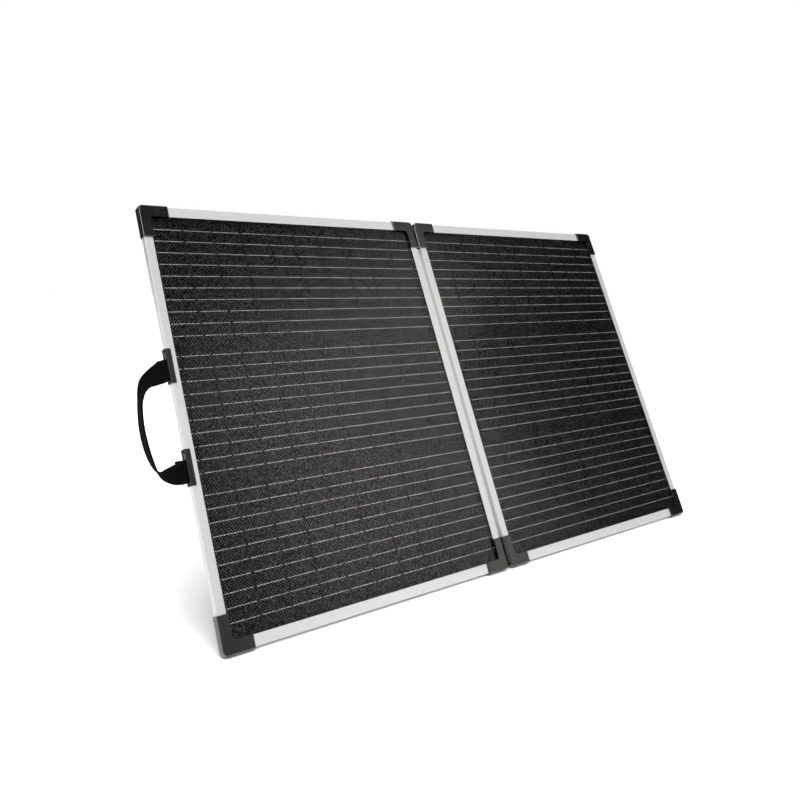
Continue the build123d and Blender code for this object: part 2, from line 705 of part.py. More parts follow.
for place, middle_y in bracket_places.items():
    top = middle_y + STRAP_BRACKET_L / 2
    with BuildPart() as bracket:
        with BuildSketch(end_plane(RAIL_X, top, 0)):
            with BuildLine():
                Polyline(
                    (0, 0),
                    (STRAP_BRACKET_LIP, 0),
                    (STRAP_BRACKET_LIP, STRAP_BRACKET_FRONT),
                    (-STRAP_BRACKET_WALL, STRAP_BRACKET_FRONT),
                    (-STRAP_BRACKET_WALL, -FRAME_DEPTH - STRAP_BRACKET_WALL),
                    (STRAP_BRACKET_LIP, -FRAME_DEPTH - STRAP_BRACKET_WALL),
                    (STRAP_BRACKET_LIP, -FRAME_DEPTH),
                    (0, -FRAME_DEPTH),
                    close=True,
                )
            make_face()
        extrude(amount=STRAP_BRACKET_L)
        front = bracket.faces().sort_by(Axis(panel.origin, panel.z_dir))[-1]
        fillet(front.edges(), 0.8)
        for groove_x, groove_w in STRAP_BRACKET_GROOVES:
            with BuildSketch(face_plane(RAIL_X + groove_x, middle_y, STRAP_BRACKET_FRONT)):
                Rectangle(groove_w, STRAP_BRACKET_L)
            extrude(amount=-GROOVE_DEPTH, mode=Mode.SUBTRACT)
        with BuildSketch(side_plane(RAIL_X - 3, middle_y, BAR_Z)):
            Rectangle(STRAP_BRACKET_L - 2 * STRAP_EAR, FRAME_DEPTH - 2)
        extrude(amount=3, mode=Mode.SUBTRACT)
        with BuildSketch(face_plane(RAIL_X + STRAP_SCREW_IN, middle_y, -FRAME_DEPTH)):
            with GridLocations(1, STRAP_SCREW_PITCH, 1, 2):
                Circle(STRAP_SCREW_R)
        extrude(amount=-STRAP_BRACKET_WALL, mode=Mode.SUBTRACT)
        for ear_top in (top, top - STRAP_BRACKET_L + STRAP_EAR):
            with BuildSketch(end_plane(BAR_X, ear_top, BAR_Z)):
                Circle(STRAP_EAR_R)
                with BuildLine():
                    Polyline(
                        (0, STRAP_EAR_R),
                        (BAR_OUT - 1, 4.5),
                        (BAR_OUT - 1, -3.6),
                        (0, -STRAP_EAR_R),
                        close=True,
                    )
                make_face()
                with BuildLine():
                    Polyline(
                        (BAR_OUT - 1.2, 4.5),
                        (BAR_OUT, 4.5),
                        (BAR_OUT, -4),
                        (BAR_OUT - 1.2, -3.6),
                        close=True,
                    )
                make_face()
            extrude(amount=STRAP_EAR)
        with BuildSketch(end_plane(BAR_X, top + 1, BAR_Z)):
            Circle(BAR_R)
        extrude(amount=STRAP_BRACKET_L + 2, mode=Mode.SUBTRACT)
    save(bracket, f"handle_{place}_bracket")

with BuildPart() as bars:
    for middle_y in bracket_places.values():
        with BuildSketch(end_plane(BAR_X, middle_y + STRAP_BRACKET_L / 2, BAR_Z)):
            Circle(BAR_R)
        extrude(amount=STRAP_BRACKET_L)
save(bars, "handle_bars")

with BuildPart() as bracket_screws:
    for middle_y in bracket_places.values():
        seat_z = -FRAME_DEPTH - STRAP_BRACKET_WALL
        with BuildSketch(face_plane(RAIL_X + STRAP_SCREW_IN, middle_y, seat_z)):
            with GridLocations(1, STRAP_SCREW_PITCH, 1, 2):
                Circle(2 * STRAP_SCREW_R)
        extrude(amount=-STRAP_SCREW_R, taper=20)
        with BuildSketch(face_plane(RAIL_X + STRAP_SCREW_IN, middle_y, seat_z)):
            with GridLocations(1, STRAP_SCREW_PITCH, 1, 2):
                Circle(STRAP_SCREW_R)
        extrude(amount=STRAP_BRACKET_WALL + WEB)
save(bracket_screws, "handle_screws")

with BuildPart() as strap:
    upper = bracket_places["upper"] - STRAP_SAG
    lower = bracket_places["lower"] - STRAP_SAG
    half = STRAP_W / 2
    arc_x = RAIL_X - STRAP_REACH + GRIP_T / 2
    with BuildSketch(face_plane(0, 0, BAR_Z - GRIP_W / 2)):
        with BuildLine():
            ThreePointArc(
                (arc_x + 10, upper - 26),
                (arc_x, (upper + lower) / 2 - 9),
                (arc_x + 10, lower + 8),
            )
        trace(line_width=GRIP_T)
    extrude(amount=GRIP_W)
    with BuildSketch(face_plane(0, 0, BAR_Z - STRAP_T / 2)):
        with BuildLine():
            Polyline(
                (BAR_X, upper + half),
                (BAR_X - 12, upper + half - 3),
                (arc_x + 3, upper - 18),
                (arc_x + 12, upper - 34),
                (BAR_X - 14, upper - half),
                (BAR_X, upper - half),
                close=True,
            )
        make_face()
        with BuildLine():
            Polyline(
                (BAR_X, lower + half),
                (BAR_X - 12, lower + half - 6),
                (arc_x + 14, lower + 16),
                (arc_x + 6, lower + 2),
                (arc_x + 16, lower - 12),
                (BAR_X - 12, lower - half),
                (BAR_X, lower - half),
                close=True,
            )
        make_face()
    extrude(amount=STRAP_T)
    for middle_y in (upper, lower):
        with BuildSketch(end_plane(BAR_X, middle_y + half, BAR_Z)):
            Circle(BAR_R + STRAP_T / 2)
        extrude(amount=STRAP_W)
    with BuildSketch(end_plane(BAR_X, upper + STRAP_W, BAR_Z)):
        Circle(BAR_R + RUNNING_FIT)
    extrude(amount=2 * BRACKET_PITCH, mode=Mode.SUBTRACT)
save(strap, "handle_strap")

print(f"leg length {leg_length:.2f}, foot {foot_y:.2f}, ground {ground_z:.3f}")
print(f"seam at {seam_x:.3f}, {seam_y:.3f}; pivot z {PIVOT_Z:.2f}")
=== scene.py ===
import json
import math

import bmesh
import bpy
from mathutils import Matrix, Vector


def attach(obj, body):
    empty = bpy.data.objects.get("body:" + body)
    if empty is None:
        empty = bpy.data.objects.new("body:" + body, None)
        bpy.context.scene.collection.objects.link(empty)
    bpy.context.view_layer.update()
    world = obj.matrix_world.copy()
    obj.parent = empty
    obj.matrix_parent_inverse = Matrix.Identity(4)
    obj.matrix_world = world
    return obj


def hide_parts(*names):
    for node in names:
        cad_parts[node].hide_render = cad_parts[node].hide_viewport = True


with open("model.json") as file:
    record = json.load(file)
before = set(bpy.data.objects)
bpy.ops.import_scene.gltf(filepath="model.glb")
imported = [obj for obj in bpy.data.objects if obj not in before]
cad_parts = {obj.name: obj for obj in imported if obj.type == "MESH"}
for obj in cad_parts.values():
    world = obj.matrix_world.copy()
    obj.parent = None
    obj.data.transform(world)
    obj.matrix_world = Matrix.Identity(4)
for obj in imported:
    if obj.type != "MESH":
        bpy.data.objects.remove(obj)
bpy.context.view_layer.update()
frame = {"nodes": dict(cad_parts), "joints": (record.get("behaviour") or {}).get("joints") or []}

MM = 0.001
LEAN = math.radians(23)      # the leaves lean back from upright

# the camera, with its place in millimetres and its directions on the leaves' own axes
LENS = 36.75                 # millimetres, as the sensor's width is
SENSOR = 36
SHIFT = (0.0508, -0.0839)    # in picture widths
FAR_CLIP = 50                # metres
CAMERA_PLACE = (-961.9, 75.3, 941.6)
CAMERA_RIGHT = (0.7845, -0.2408, 0.5714)
CAMERA_UP = (0.0341, 0.9369, 0.3480)
CAMERA_BACK = (-0.6191, -0.2535, 0.7432)

# The studio. Directions are in degrees: azimuth 0 is in front of the cells and 90 is at +X.
WHITE = (1.0, 1.0, 1.0)
WARM = (1.0, 0.955, 0.87)
SUN = (-30.0, 50.0, 3.3, 60.0)    # azimuth, elevation, strength, width
BOX_LEVEL = 1.7
# Each edge is two angles and the level at each, with a soft step between them.
BOX_LEFT = (26.0, 40.0, 0.10, 1.0)
BOX_END = (-20.0, 15.0, 0.0, 1.0)
BOX_RIGHT = (49.3, 54.0, 1.0, 0.0)
BOX_SLANT = (24.5, 30.0, 0.0, 4.0)    # degrees that the right edge moves over, higher up
BOX_TOP = (30.0, 42.0, 1.0, 0.05)
BOX_FOOT = (6.0, 20.0, 0.15, 1.0)
OVERHEAD = (58.0, 76.0, 0.0, 5.4)
SIDE = (-20.0, 10.0, 0.06, 0.003)
FLOOR_REACH = 30.0           # metres each way
FLOOR_LEVEL = 0.96

# Materials. Noises are in features per metre, and the depths of bumps are in metres.
NOISE_RANGE = (0.3, 0.7)     # where most of a noise's values lie
EMBOSS_PITCH = 4.8           # millimetres
EMBOSS_DEPTH = 0.00001
PATCH_NOISE = 60.0
PATCH_STRENGTH = (0.35, 0.65, 0.8, 1.15)    # two noise values, and how deep the diamonds are there
GRAIN_NOISE = 330.0
GRAIN_WEIGHT = 3.4           # of the fine grain added to the diamonds
# the fronts of the cells and the board, which share one embossing, with painted glints on its peaks
FRONT_GLINT_HEIGHTS = (-0.4, 1.3)  # where the embossing's painted glints are faintest and strongest
FRONT_GLINT_LEVELS = (0.0, 0.125)
FRONT_COAT = (0.45, 0.10)    # its weight and roughness
FRONT_ROUGHNESS = 0.278
FILM_ALPHA = 0.06
BOND_ALPHA = 0.04
BOARD_WEAVE = 2.4166         # millimetres
# aluminium's draw lines and clouds: their noises and their weights
DRAWN = (900.0, 0.7)
CLOUDED = (35.0, 0.3)
SATIN_DIP = 0.965            # the darkest streak's level beside the palest's
SATIN_ROUGHNESS = (0.29, 0.35)
# the webbing's weave: waves in radians per metre
RIBS = 4200.0
CORDS = 3600.0
CHEVRONS = 520.0
CHEVRON_LEAD = 5.0           # radians by which the chevrons bend the ribs
FUZZ_NOISE = 1500.0
WEAVE_SHADE_HEIGHTS = (-1.2, 2.0)  # where the webbing is darkest and palest: painted shade in the weave's grooves

# the leaves' own axes: along them, up the slope, and out of the cells
ALONG = Vector((1, 0, 0))
UP_SLOPE = Vector((0, math.sin(LEAN), math.cos(LEAN)))
OUT = Vector((0, -math.cos(LEAN), math.sin(LEAN)))

# the seam's foot, level with the frames' front faces, worked out from the fold's axis
HINGE_OUT = 2.4
HALF_HEIGHT = 296.8
fold = next(joint for joint in frame["joints"] if joint["name"] == "leaf_fold")
SEAM = Vector(fold["pos_m"]) - MM * (HALF_HEIGHT * UP_SLOPE + HINGE_OUT * OUT)


def leaf_vector(x, y, z):
    """A direction on the leaves' own axes, in the row frame."""
    return x * ALONG + y * UP_SLOPE + z * OUT


def leaf_point(x, y, z):
    """A point given in millimetres on the leaves, in the row frame in metres."""
    return SEAM + MM * leaf_vector(x, y, z)


# ---- camera, light and floor ----------------------------------------------
def add_camera():
    data = bpy.data.cameras.new("camera")
    data.lens = LENS
    data.sensor_width = SENSOR
    data.shift_x, data.shift_y = SHIFT
    data.clip_end = FAR_CLIP
    camera = bpy.data.objects.new("camera", data)
    bpy.context.scene.collection.objects.link(camera)
    columns = [leaf_vector(*axis) for axis in (CAMERA_RIGHT, CAMERA_UP, CAMERA_BACK)]
    turn = Matrix(columns).transposed().to_quaternion().to_matrix().to_4x4()
    camera.matrix_world = Matrix.Translation(leaf_point(*CAMERA_PLACE)) @ turn
    bpy.context.scene.camera = camera


def add_sun():
    """A soft light from far away, wide enough to blur its own shadows."""
    azimuth, elevation, strength, width = SUN
    data = bpy.data.lights.new("key", "SUN")
    data.energy = strength
    data.angle = math.radians(width)
    data.color = WHITE
    light = bpy.data.objects.new("key", data)
    bpy.context.scene.collection.objects.link(light)
    a, e = math.radians(azimuth), math.radians(elevation)
    towards = Vector((math.sin(a) * math.cos(e), -math.cos(a) * math.cos(e), math.sin(e)))
    light.rotation_mode = "QUATERNION"
    light.rotation_quaternion = towards.to_track_quat("Z", "Y")


class Nodes:
    """Short calls for building a node tree."""

    def __init__(self, tree):
        self.tree = tree
        tree.nodes.clear()

    def add(self, kind, **settings):
        node = self.tree.nodes.new(kind)
        for key, value in settings.items():
            setattr(node, key, value)
        return node

    def link(self, source, target):
        self.tree.links.new(source, target)

    def put(self, socket, value):
        """Sets a socket to a plain value, or links another node's socket to it."""
        if isinstance(value, bpy.types.NodeSocket):
            self.link(value, socket)
        elif value is not None:
            socket.default_value = value

    def math(self, operation, a, b=None):
        node = self.add("ShaderNodeMath", operation=operation)
        for socket, value in zip(node.inputs, (a, b)):
            self.put(socket, value)
        return node.outputs[0]

    def smooth(self, value, low, high, out_low=0.0, out_high=1.0):
        """A soft step from one output level to another as the value passes from low to high."""
        node = self.add("ShaderNodeMapRange", interpolation_type="SMOOTHSTEP")
        for name, setting in (
            ("Value", value),
            ("From Min", low),
            ("From Max", high),
            ("To Min", out_low),
            ("To Max", out_high),
        ):
            self.put(node.inputs[name], setting)
        return node.outputs["Result"]


def make_world():
    """White to the camera. The surfaces see a dark studio with three soft lights.

    They are a warm box in front at the right, a panel overhead and a faint glow at the left.
    """
    world = bpy.data.worlds.new("studio")
    bpy.context.scene.world = world
    world.use_nodes = True
    n = Nodes(world.node_tree)
    place = n.add("ShaderNodeTexCoord").outputs["Generated"]
    split = n.add("ShaderNodeSeparateXYZ")
    n.link(place, split.inputs[0])
    x, y, z = split.outputs
    azimuth = n.math("ARCTAN2", x, n.math("MULTIPLY", y, -1.0))
    azimuth = n.math("MULTIPLY", azimuth, 180 / math.pi)
    elevation = n.math("MULTIPLY", n.math("ARCSINE", z), 180 / math.pi)

    slanted = n.math("SUBTRACT", azimuth, n.smooth(elevation, *BOX_SLANT))
    box = n.smooth(azimuth, *BOX_LEFT)
    for value, edge in (
        (azimuth, BOX_END),
        (slanted, BOX_RIGHT),
        (elevation, BOX_TOP),
        (elevation, BOX_FOOT),
    ):
        box = n.math("MULTIPLY", box, n.smooth(value, *edge))
    above = n.smooth(elevation, *OVERHEAD)
    left = n.smooth(azimuth, *SIDE)
    level = n.math("ADD", n.math("MULTIPLY", box, BOX_LEVEL), n.math("MAXIMUM", above, left))
    colour = n.add("ShaderNodeMix", data_type="RGBA")
    n.link(box, colour.inputs["Factor"])
    n.put(colour.inputs["A"], (*WHITE, 1.0))
    n.put(colour.inputs["B"], (*WARM, 1.0))
    lit = n.add("ShaderNodeBackground")
    n.link(colour.outputs["Result"], lit.inputs["Color"])
    n.link(level, lit.inputs["Strength"])
    seen = n.add("ShaderNodeBackground")
    n.put(seen.inputs["Color"], (*WHITE, 1.0))
    mix = n.add("ShaderNodeMixShader")
    n.link(n.add("ShaderNodeLightPath").outputs["Is Camera Ray"], mix.inputs[0])
    n.link(lit.outputs[0], mix.inputs[1])
    n.link(seen.outputs[0], mix.inputs[2])
    out = n.add("ShaderNodeOutputWorld")
    n.link(mix.outputs[0], out.inputs[0])


def add_floor():
    """The white ground that the feet stand on."""
    mesh = bpy.data.meshes.new("floor")
    r = FLOOR_REACH
    mesh.from_pydata([(-r, -r, 0), (r, -r, 0), (r, r, 0), (-r, r, 0)], [], [(0, 1, 2, 3)])
    floor = bpy.data.objects.new("floor", mesh)
    bpy.context.scene.collection.objects.link(floor)
    material, _, shader = principled("floor_paint", grey(FLOOR_LEVEL), 0.9)
    shader.inputs["Specular IOR Level"].default_value = 0.1
    mesh.materials.append(material)


# ---- materials ------------------------------------------------------------
def grey(level):
    return (level, level, level)


def principled(name, colour, roughness, metallic=0.0):
    """A new material, the means to add nodes to it, and its shader."""
    material = bpy.data.materials.new(name)
    material.use_nodes = True
    n = Nodes(material.node_tree)
    shader = n.add("ShaderNodeBsdfPrincipled")
    shader.inputs["Base Color"].default_value = (*colour, 1.0)
    shader.inputs["Roughness"].default_value = roughness
    shader.inputs["Metallic"].default_value = metallic
    out = n.add("ShaderNodeOutputMaterial")
    n.link(shader.outputs[0], out.inputs[0])
    return material, n, shader


def leaf_coordinates(n):
    """Coordinates in metres along the leaf, up its slope and out of the cells."""
    place = n.add("ShaderNodeTexCoord").outputs["Object"]
    turn = n.add("ShaderNodeMapping")
    n.put(turn.inputs["Rotation"], (LEAN - math.pi / 2, 0.0, 0.0))
    n.link(place, turn.inputs["Vector"])
    return turn.outputs[0]


def stretched(n, vector, scale):
    """The same place with each axis scaled: under 1 draws the pattern out along that axis."""
    node = n.add("ShaderNodeMapping")
    n.put(node.inputs["Scale"], scale)
    n.link(vector, node.inputs["Vector"])
    return node.outputs[0]


def noise(n, vector, scale, detail=2.0, rough=0.5):
    node = n.add("ShaderNodeTexNoise")
    n.link(vector, node.inputs["Vector"])
    n.put(node.inputs["Scale"], scale)
    n.put(node.inputs["Detail"], detail)
    n.put(node.inputs["Roughness"], rough)
    return node.outputs["Fac"]


def bump(n, shader, height, distance, strength=1.0):
    node = n.add("ShaderNodeBump")
    n.put(node.inputs["Strength"], strength)
    n.put(node.inputs["Distance"], distance)
    n.link(height, node.inputs["Height"])
    n.link(node.outputs[0], shader.inputs["Normal"])


def tint(n, shader, factor, colours):
    """Base colour that runs between two colours."""
    ramp = n.add("ShaderNodeValToRGB")
    for element, colour in zip(ramp.color_ramp.elements, colours):
        element.color = (*colour, 1.0)
    n.link(factor, ramp.inputs[0])
    n.link(ramp.outputs[0], shader.inputs["Base Color"])


def lattice(n, place, pitch):
    """Rows of bumps and hollows along the leaf and up its slope, a pitch in metres apart."""
    split = n.add("ShaderNodeSeparateXYZ")
    n.link(place, split.inputs[0])
    turns = 2 * math.pi / pitch
    waves = [n.math("SINE", n.math("MULTIPLY", axis, turns)) for axis in split.outputs[:2]]
    return n.math("MULTIPLY", *waves)


def emboss(n):
    """The film's fine diamond embossing, uneven from place to place."""
    place = leaf_coordinates(n)
    diamonds = lattice(n, place, EMBOSS_PITCH * MM)
    patches = n.smooth(noise(n, place, PATCH_NOISE, detail=1.0), *PATCH_STRENGTH)
    diamonds = n.math("MULTIPLY", diamonds, patches)
    grain = n.math("SUBTRACT", noise(n, place, GRAIN_NOISE, detail=1.0), 0.5)
    return n.math("ADD", diamonds, n.math("MULTIPLY", grain, GRAIN_WEIGHT))


def front_with_painted_glints(n, shader, height):
    """A glossy front under a clear coat, with painted glints: its colour is paler at its peaks than
    in its hollows.
    """
    glint_greys = [grey(level) for level in FRONT_GLINT_LEVELS]
    tint(n, shader, n.smooth(height, *FRONT_GLINT_HEIGHTS), glint_greys)
    shader.inputs["Coat Weight"].default_value = FRONT_COAT[0]
    shader.inputs["Coat Roughness"].default_value = FRONT_COAT[1]
    bump(n, shader, height, EMBOSS_DEPTH)


def cell_material():
    """Black cells behind the embossing, which breaks up their gloss; their colour carries painted
    glints on its peaks.
    """
    material, n, shader = principled("cell_black", grey(0.04), FRONT_ROUGHNESS, 1.0)
    front_with_painted_glints(n, shader, emboss(n))
    return material


def film_material():
    """The clear film over the front, nearly all see-through."""
    material, n, shader = principled("embossed_film", grey(0.001), 0.3)
    shader.inputs["Alpha"].default_value = FILM_ALPHA
    shader.inputs["IOR"].default_value = 1.35
    bump(n, shader, emboss(n), EMBOSS_DEPTH)
    return material


def clear_material():
    """The clear bond between film and cells."""
    material, _, shader = principled("clear_bond", grey(0.01), 0.3)
    shader.inputs["Alpha"].default_value = BOND_ALPHA
    return material


def ribbon_material():
    """Tinned copper, with painted shade in the hollows of the film's embossing."""
    material, n, shader = principled("tinned_ribbon", (0.86, 0.86, 0.84), 0.42, 0.5)
    patches = n.smooth(emboss(n), -0.8, 1.0)
    # painted shade: the ribbons are darker under the embossing's hollows and paler under its peaks
    tint(n, shader, patches, ((0.30, 0.30, 0.29), (0.98, 0.97, 0.94)))
    bump(n, shader, patches, 0.00003)
    return material


def aluminium_material(name, streaks, pale=0.57):
    """Satin anodised extrusion, with its fine draw lines running one way."""
    material, n, shader = principled(name, (pale, pale, pale), 0.32, 0.5)
    place = leaf_coordinates(n)
    lines = noise(n, stretched(n, place, streaks), DRAWN[0], detail=3.0, rough=0.6)
    clouds = noise(n, place, CLOUDED[0])
    mixed = n.math("ADD", n.math("MULTIPLY", lines, DRAWN[1]), n.math("MULTIPLY", clouds, CLOUDED[1]))
    low = pale * SATIN_DIP
    cool = (low, low, low * 1.01)
    warm = (pale, pale * 0.995, pale * 0.99)
    tint(n, shader, mixed, (cool, warm))
    n.link(n.smooth(mixed, *NOISE_RANGE, *SATIN_ROUGHNESS), shader.inputs["Roughness"])
    bump(n, shader, lines, 0.00002, 0.6)
    return material


def moulded_material(name, colour, roughness, grain=2600.0, depth=0.00004, spread=0.06, ior=1.5):
    """Black plastic, rubber or coating, with a fine texture and slightly uneven gloss."""
    material, n, shader = principled(name, colour, roughness)
    place = n.add("ShaderNodeTexCoord").outputs["Object"]
    shader.inputs["IOR"].default_value = ior
    sparks = noise(n, place, grain, detail=3.0, rough=0.6)
    clouds = noise(n, place, 60.0, detail=3.0)
    paler = tuple(1.35 * part + 0.002 for part in colour)
    tint(n, shader, clouds, (colour, paler))
    n.link(n.smooth(clouds, *NOISE_RANGE, roughness - spread, roughness + spread),
           shader.inputs["Roughness"])
    bump(n, shader, sparks, depth)
    return material


def steel_material(name, colour, roughness):
    """Bare turned metal, a little dull in places."""
    material, n, shader = principled(name, colour, roughness, 1.0)
    place = n.add("ShaderNodeTexCoord").outputs["Object"]
    turned = noise(n, stretched(n, place, (1.0, 0.15, 0.15)), 3000.0, detail=3.0)
    clouds = noise(n, place, 120.0, detail=3.0)
    dull = tuple(part * 0.7 for part in colour)
    tint(n, shader, clouds, (dull, colour))
    n.link(n.smooth(clouds, *NOISE_RANGE, roughness - 0.08, roughness + 0.1),
           shader.inputs["Roughness"])
    bump(n, shader, turned, 0.00001)
    return material


def board_material():
    """Black glass fibre board: its weave shows behind, the film's embossing in front, with painted
    glints on its peaks.
    """
    material, n, shader = principled("fibre_board", grey(0.04), FRONT_ROUGHNESS, 1.0)
    place = leaf_coordinates(n)
    weave = lattice(n, place, BOARD_WEAVE * MM)
    mottle = noise(n, place, 220.0, detail=3.0)
    rear = n.math("ADD", n.math("MULTIPLY", weave, 0.5), mottle)
    facing = n.add("ShaderNodeSeparateXYZ")
    n.link(n.add("ShaderNodeTexCoord").outputs["Normal"], facing.inputs[0])
    is_rear = n.math("GREATER_THAN", facing.outputs[1], 0.0)
    height = n.add("ShaderNodeMix")
    for name, value in (("Factor", is_rear), ("A", emboss(n)), ("B", rear)):
        n.put(height.inputs[name], value)
    front_with_painted_glints(n, shader, height.outputs["Result"])
    return material


def webbing_material():
    """Woven black webbing, from its own length and width in metres, with painted shade in its
    grooves.
    """
    material, n, shader = principled("woven_webbing", grey(0.002), 0.9)
    shader.inputs["Specular IOR Level"].default_value = 0.04
    shader.inputs["Sheen Weight"].default_value = 0.008
    shader.inputs["Sheen Roughness"].default_value = 0.5
    uv = n.add("ShaderNodeUVMap", uv_map="weave").outputs[0]
    split = n.add("ShaderNodeSeparateXYZ")
    n.link(uv, split.inputs[0])
    along, across = split.outputs[0], split.outputs[1]
    chevrons = n.math("ABSOLUTE", n.math("SINE", n.math("MULTIPLY", across, CHEVRONS)))
    lead = n.math("MULTIPLY", chevrons, CHEVRON_LEAD)
    ribs = n.math("SINE", n.math("ADD", n.math("MULTIPLY", along, RIBS), lead))
    cords = n.math("SINE", n.math("MULTIPLY", across, CORDS))
    place = n.add("ShaderNodeTexCoord").outputs["Object"]
    fuzz = noise(n, place, FUZZ_NOISE, detail=3.0)
    height = n.math("ADD", n.math("ADD", ribs, n.math("MULTIPLY", cords, 0.5)), fuzz)
    # painted shade: darker in the weave's grooves, paler on its raised threads
    groove_shades = (grey(0.0004), (0.003, 0.003, 0.0028))
    tint(n, shader, n.smooth(height, *WEAVE_SHADE_HEIGHTS), groove_shades)
    bump(n, shader, height, 0.00012)
    return material


def thread_material():
    """Black twisted thread."""
    material, n, shader = principled("thread", grey(0.012), 0.7)
    place = n.add("ShaderNodeTexCoord").outputs["Object"]
    twist = noise(n, place, 5000.0)
    tint(n, shader, twist, (grey(0.002), grey(0.012)))
    bump(n, shader, twist, 0.00003)
    return material


def cover(nodes, material):
    """Gives frame nodes a material in place of their own."""
    for name in nodes:
        for slot in frame["nodes"][name].material_slots:
            slot.material = material


def both(*names):
    """The names of the nodes that both leaves have."""
    return [f"{side}_{name}" for side in ("left", "right") for name in names]


def cover_frame():
    """Everything but the laminate and the strap."""
    # The rails up the sides and the rails along are one anodised aluminium; their two pale levels are
    # painted light and shade.
    cover(both("outer_rail", "hinge_rail"), aluminium_material("rail_up", (1.0, 0.02, 1.0)))
    cover(both("top_rail", "bottom_rail", "crossbar"),
          aluminium_material("rail_along", (0.02, 1.0, 1.0), 0.61))
    cover(both("leg"), aluminium_material("leg_tube", (1.0, 0.05, 1.0), 0.64))
    corners = [f"{place}_{end}_corner" for place in ("outer", "hinge") for end in ("top", "bottom")]
    cover(both(*corners),
          moulded_material("corner_plastic", (0.0030, 0.0025, 0.0018), 0.17, spread=0.03, ior=1.75))
    cover(both("leg_clip", "leg_ends"), moulded_material("clip_plastic", grey(0.014), 0.45))
    cover(both("leg_brackets"), moulded_material("powder_coat", grey(0.012), 0.4, 1400.0))
    cover(both("junction_box", "junction_lid"),
          moulded_material("box_plastic", (0.013, 0.013, 0.014), 0.5, 1700.0, 0.00008))
    cover(both("cable_gland"), moulded_material("gland_nylon", grey(0.02), 0.4))
    cover(["handle_upper_bracket", "handle_lower_bracket"],
          moulded_material("bracket_plastic", (0.006, 0.0055, 0.0045), 0.45, ior=1.4))
    cover(both("leg_feet"), moulded_material("foot_rubber", grey(0.016), 0.75, 900.0, 0.0001))
    cover(both("edge_seal"), moulded_material("seal_tape", grey(0.01), 0.7))
    cover(both("rear_screws") + ["handle_screws"],
          steel_material("screw_steel", (0.55, 0.55, 0.56), 0.35))
    cover(["handle_bars"], moulded_material("coated_bar", grey(0.01), 0.4))
    cover(both("leg_pins") + ["hinge_pins"],
          steel_material("pin_steel", (0.62, 0.62, 0.63), 0.28))
    cover(both("corner_keys"), steel_material("key_metal", grey(0.5), 0.5))
    cover(both("junction_terminals"), steel_material("tinned_brass", (0.7, 0.66, 0.55), 0.35))


def cover_laminate():
    """The layers behind each leaf's front, from the film back to the board."""
    cover(both("front_film"), film_material())
    cover(both("encapsulant"), clear_material())
    cover(both("cells"), cell_material())
    cover(both("ribbons"), ribbon_material())
    cover(both("backing_board"), board_material())


# ---- carrying strap, in leaf millimetres ----------------------------------
BAR_X = -504.3
BAR_Z = -4.5
WEBBING_T = 1.2
WRAP_R = 1.45                # bar's axis to the middle of the webbing
WRAP_STEP = 15               # degrees between the sections round a bar
TAIL = 12.0                  # webbing sewn down behind, beyond the bar
TAIL_STEPS = 6
TAIL_DROP = 0.5              # how much nearer the strap the tail's cut end is
UPPER_TAIL_LEAN = 0.16       # how far each tail falls, for its run outwards from the bar
LOWER_TAIL_LEAN = 0.02
SETTLE = 8.0                 # run from the bar over which the strap drops to the bar's level
ROUTE_STEPS = 8              # sections between two points of the route
EDGE_STEPS = (0.25, 0.5, 0.75)    # extra points along each side of a section
EDGE_ROUND = 1.6             # the most that a section's corners are rounded
ROUND_SHARE = 0.9            # and the share of half its thickness that they take up
# the sections that are sewn: by each bar, and where the webbing is folded into a grip
SEWN = (slice(5, 17), slice(-17, -5), slice(56, 104))
STITCH_INSET = 2.4           # from the webbing's edge
STITCH_PROUD = 0.1
THREAD_R = 0.32
THREAD_SIDES = 8
# how far along a stitch, and how thick the thread is there
THREAD_PROFILE = ((0.0, 0.35), (0.12, 0.85), (0.5, 1.0), (0.88, 0.85), (1.0, 0.35))
# the centre of the strap (x, y), its width, its thickness and its turn in degrees
STRAP_ROUTE = (
    (-504.3, 358.5, 29.0, 1.2, 0),
    (-508.5, 357.5, 28.8, 1.2, 0),
    (-514.6, 354.3, 28.0, 1.2, 0),
    (-523.0, 350.6, 25.0, 1.4, -4),
    (-533.5, 344.8, 20.5, 1.8, -20),
    (-539.3, 338.6, 17.0, 2.3, -42),
    (-543.4, 331.4, 15.0, 2.8, -66),
    (-546.3, 323.0, 14.4, 2.8, -82),
    (-548.9, 312.5, 14.6, 2.8, -90),
    (-551.0, 294.3, 14.8, 2.8, -90),
    (-551.4, 280.0, 15.0, 2.8, -90),
    (-550.6, 266.0, 15.0, 2.8, -90),
    (-548.6, 251.0, 15.0, 2.8, -86),
    (-545.6, 238.5, 15.0, 2.8, -78),
    (-541.5, 228.8, 16.4, 2.5, -64),
    (-535.5, 223.4, 19.5, 2.0, -42),
    (-526.5, 221.6, 23.5, 1.5, -18),
    (-516.0, 221.9, 27.0, 1.2, -4),
    (-508.5, 223.4, 29.2, 1.2, 0),
    (-504.3, 224.4, 29.6, 1.2, 0),
)


def smooth_between(points, steps):
    """Catmull-Rom samples through a list of equal-length tuples."""
    rows = [points[0], *points, points[-1]]
    found = []
    for a, b, c, d in zip(rows, rows[1:], rows[2:], rows[3:]):
        for step in range(steps):
            t = step / steps
            found.append(tuple(
                0.5 * (2 * q + (r - p) * t + (2 * p - 5 * q + 4 * r - s) * t * t
                       + (3 * q - p - 3 * r + s) * t ** 3)
                for p, q, r, s in zip(a, b, c, d)
            ))
    found.append(points[-1])
    return found


